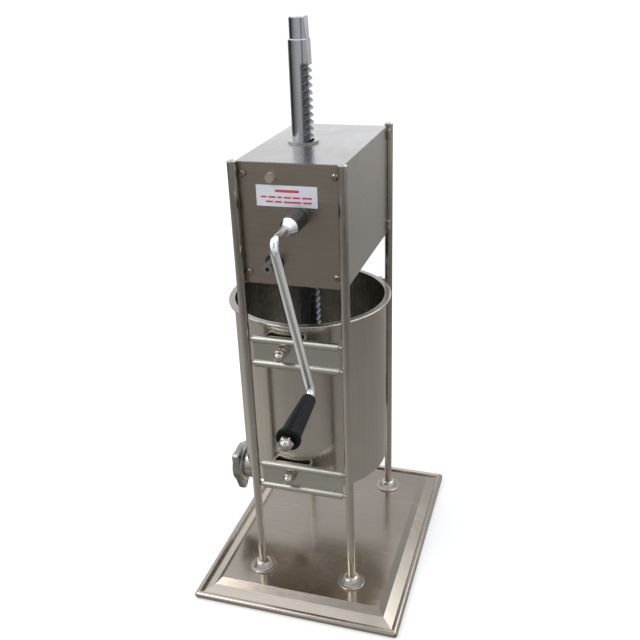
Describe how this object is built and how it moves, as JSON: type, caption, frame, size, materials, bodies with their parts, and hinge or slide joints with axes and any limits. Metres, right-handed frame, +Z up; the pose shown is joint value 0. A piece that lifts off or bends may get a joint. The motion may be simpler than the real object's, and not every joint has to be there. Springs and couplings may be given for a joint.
{
  "type": "sausage stuffer",
  "caption": "Vertical hand-cranked sausage stuffer: a geared crank drives a toothed rack and piston down an open steel cylinder with a side outlet.",
  "frame": {"origin": "middle of the base's footprint, on the table", "axes": "+Z up along the posts and the rack, -Y towards the crank side, -X towards the outlet"},
  "size_m": [0.312, 0.5262, 0.809],
  "materials": {
    "base_sheet": "brushed stainless sheet, satin",
    "polished_tube": "polished stainless bar",
    "foot_steel": "turned and polished stainless",
    "rail_steel": "brushed stainless, satin",
    "weld_steel": "weld bead, dull",
    "fastener_steel": "bright stainless fasteners",
    "plug_nickel": "nickel-plated brass, dull",
    "dark_steel": "black oxide steel",
    "cylinder_steel": "rolled stainless sheet, fine vertical brushing",
    "cast_nut": "cast and tumbled, matt grey",
    "housing_sheet": "brushed stainless sheet, satin",
    "cover_sheet": "brushed stainless sheet, satin",
    "sticker": "pale printed film",
    "plate_steel": "ground steel",
    "gear_steel": "machined and oiled steel",
    "bush_steel": "turned steel",
    "rack_chrome": "plated steel, bluish",
    "piston_metal": "turned aluminium",
    "black_rubber": "moulded rubber",
    "hub_steel": "turned steel, dark satin",
    "crank_chrome": "bright chrome plate",
    "grip_plastic": "ribbed black moulding"
  },
  "bodies": {
    "frame": {"base_plate": "base_sheet", "base_bolts": "fastener_steel", "foot_flanges": "foot_steel", "grub_screws": "dark_steel", "post_front_left": "polished_tube", "post_front_right": "polished_tube", "post_rear_left": "polished_tube", "post_rear_right": "polished_tube", "corner_welds": "weld_steel", "rail_front_upper": "rail_steel", "rail_front_lower": "rail_steel", "rail_rear_upper": "rail_steel", "rail_rear_lower": "rail_steel", "saddle_brackets": "rail_steel", "rail_bolts": "fastener_steel", "rail_spacers": "fastener_steel", "rail_washers": "fastener_steel", "lock_nuts": "fastener_steel", "rail_acorn_nuts": "fastener_steel", "cylinder": "cylinder_steel", "outlet_elbow": "cylinder_steel", "housing": "housing_sheet", "front_cover": "cover_sheet", "rear_cover": "cover_sheet", "cover_screws": "fastener_steel", "label_plate": "sticker", "oil_plug": "plug_nickel", "tie_rods": "plate_steel", "plate_spacers": "plate_steel", "front_gear_plate": "plate_steel", "middle_gear_plate": "plate_steel", "rear_gear_plate": "plate_steel", "shaft_bushes": "bush_steel", "shaft_seals": "black_rubber", "upper_rack_bush": "bush_steel", "lower_rack_bush": "bush_steel"},
    "rack_unit": {"rack": "rack_chrome", "piston": "piston_metal", "piston_seal": "black_rubber", "piston_nut": "fastener_steel"},
    "fast_unit": {"pinion_shaft": "gear_steel", "drive_gear": "gear_steel", "gear_key": "dark_steel", "shaft_clip": "dark_steel", "crank_hub": "hub_steel", "hub_cone": "crank_chrome", "crank_arm": "crank_chrome", "grip_acorn_nut": "fastener_steel"},
    "slow_unit": {"slow_shaft": "gear_steel"},
    "grip_unit": {"grip": "grip_plastic"},
    "nut_unit": {"ring_nut": "cast_nut"}
  },
  "joints": [
    {"name": "rack_slide", "type": "slide", "parent": "frame", "child": "rack_unit", "axis": [0, 0, 1], "range_m": [-0.112, 0.165]},
    {"name": "fast_shaft_spin", "type": "hinge", "parent": "frame", "child": "fast_unit", "pos_m": [0.0117, 0, 0.584], "axis": [0, 1, 0], "range_deg": [-332, 488]},
    {"name": "slow_shaft_spin", "type": "hinge", "parent": "frame", "child": "slow_unit", "pos_m": [-0.0232, 0, 0.52332], "axis": [0, 1, 0], "range_deg": [-1458, 990]},
    {"name": "grip_spin", "type": "hinge", "parent": "fast_unit", "child": "grip_unit", "pos_m": [0.05137, -0.216, 0.39246], "axis": [0.0145, -0.9974, -0.07], "continuous": true},
    {"name": "ring_nut_turn", "type": "hinge", "parent": "frame", "child": "nut_unit", "pos_m": [-0.148, 0, 0.118], "axis": [-1, 0, 0], "range_deg": [0, 1080]}
  ],
  "couplings": [
    {"joint": "fast_shaft_spin", "follows": "rack_slide", "rad_per_m": 51.282},
    {"joint": "slow_shaft_spin", "follows": "rack_slide", "rad_per_m": -153.85}
  ]
}
